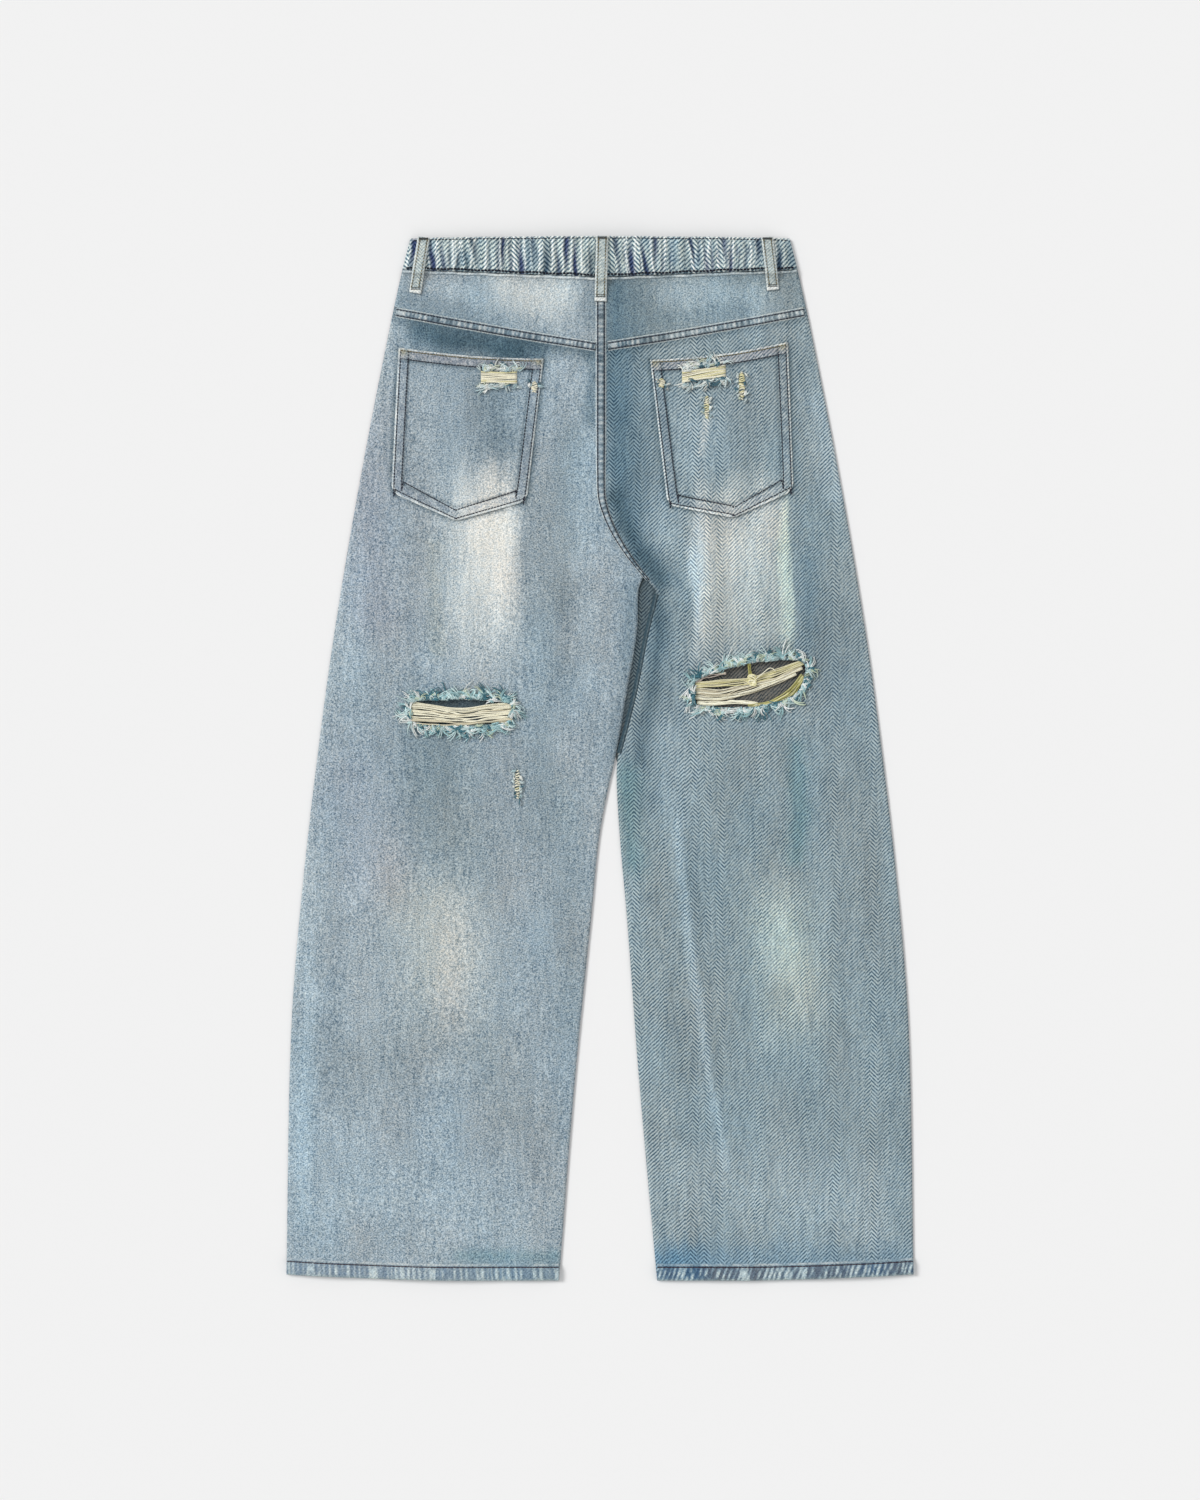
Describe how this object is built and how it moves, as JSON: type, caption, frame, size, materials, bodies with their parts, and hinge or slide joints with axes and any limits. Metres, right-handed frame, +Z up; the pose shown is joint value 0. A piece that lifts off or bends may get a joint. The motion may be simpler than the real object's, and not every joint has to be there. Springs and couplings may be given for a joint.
{
  "type": "ripped jeans",
  "caption": "Baggy wide-leg ripped jeans in pale washed denim with a gathered elastic back waist, laid flat back side up, with patch pockets and frayed thigh rips.",
  "frame": {"origin": "on the resting surface, under the middle of the garment's bounding box", "axes": "+X to the wearer's right, which is also right seen from above; +Y along the garment towards the waist; +Z up, out of the back of the garment"},
  "size_m": [0.6278, 1.044, 0.018],
  "materials": {
    "washed_denim": "stone-washed cotton twill, grainy and matte, with bleached fades",
    "waistband_denim": "gathered cotton twill over elastic, pale ridges and dark troughs",
    "loop_denim": "grey-beige washed twill, matte",
    "thread": "dark polyester-cotton sewing thread, matte",
    "frayed_yarn": "loose undyed cotton yarns at the rips, matte",
    "button_metal": "aged brass, satin"
  },
  "bodies": {
    "root": {"front_panel_left": "washed_denim", "front_panel_right": "washed_denim", "fly_placket": "washed_denim", "back_panel_left": "washed_denim", "back_panel_right": "washed_denim", "back_yoke_left": "washed_denim", "back_yoke_right": "washed_denim", "back_pocket_left": "washed_denim", "back_pocket_right": "washed_denim", "waistband_front_left": "waistband_denim", "waistband_front_right": "waistband_denim", "waistband_back": "waistband_denim", "belt_loop_back_left": "loop_denim", "belt_loop_back_centre": "loop_denim", "belt_loop_back_right": "loop_denim", "belt_loop_front_left": "loop_denim", "belt_loop_front_right": "loop_denim", "waist_button": "button_metal"}
  },
  "joints": []
}
